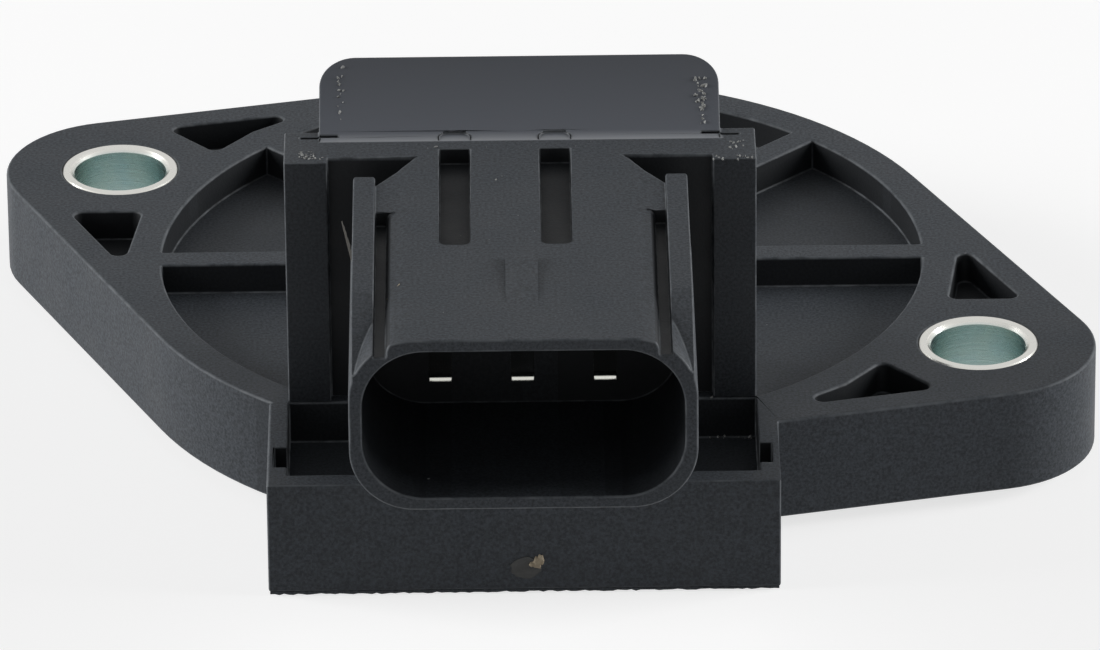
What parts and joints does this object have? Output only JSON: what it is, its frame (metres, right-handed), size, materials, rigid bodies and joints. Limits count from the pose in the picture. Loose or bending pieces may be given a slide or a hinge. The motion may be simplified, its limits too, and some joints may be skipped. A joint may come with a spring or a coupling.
{
  "type": "camshaft position sensor",
  "caption": "Flat engine sensor with a two-lug oval flange, a round ribbed recess, steel bushings and a horizontal plug connector.",
  "frame": {"origin": "middle of the line between the two screw holes, on the mounting face", "axes": "+Z away from the engine along the screws, -Y towards the plug"},
  "size_m": [0.0742, 0.0769, 0.0282],
  "materials": {
    "flange_plastic": "moulded charcoal plastic, fine matte grain",
    "housing_plastic": "moulded charcoal plastic, fine matte grain",
    "bushing_steel": "turned steel with clear zinc plating",
    "seal_rubber": "smooth rubber",
    "terminal_tin": "tin plated",
    "board_laminate": "glass laminate with green mask",
    "chip_body": "moulded epoxy",
    "lead_tin": "tin plated",
    "capacitor_ceramic": "ceramic",
    "resistor_body": "coated ceramic",
    "potting_resin": "cured resin",
    "cover_plastic": "moulded plastic"
  },
  "bodies": {
    "root": {"mounting_flange": "flange_plastic", "rear_bushing": "bushing_steel", "front_bushing": "bushing_steel", "seal_ring": "seal_rubber", "sensor_housing": "housing_plastic", "supply_terminal": "terminal_tin", "ground_terminal": "terminal_tin", "signal_terminal": "terminal_tin", "circuit_board": "board_laminate", "hall_chip": "chip_body", "supply_lead": "lead_tin", "ground_lead": "lead_tin", "signal_lead": "lead_tin", "supply_capacitor": "capacitor_ceramic", "signal_capacitor": "capacitor_ceramic", "pull_up_resistor": "resistor_body", "potting_fill": "potting_resin", "base_cover": "cover_plastic"}
  },
  "joints": []
}
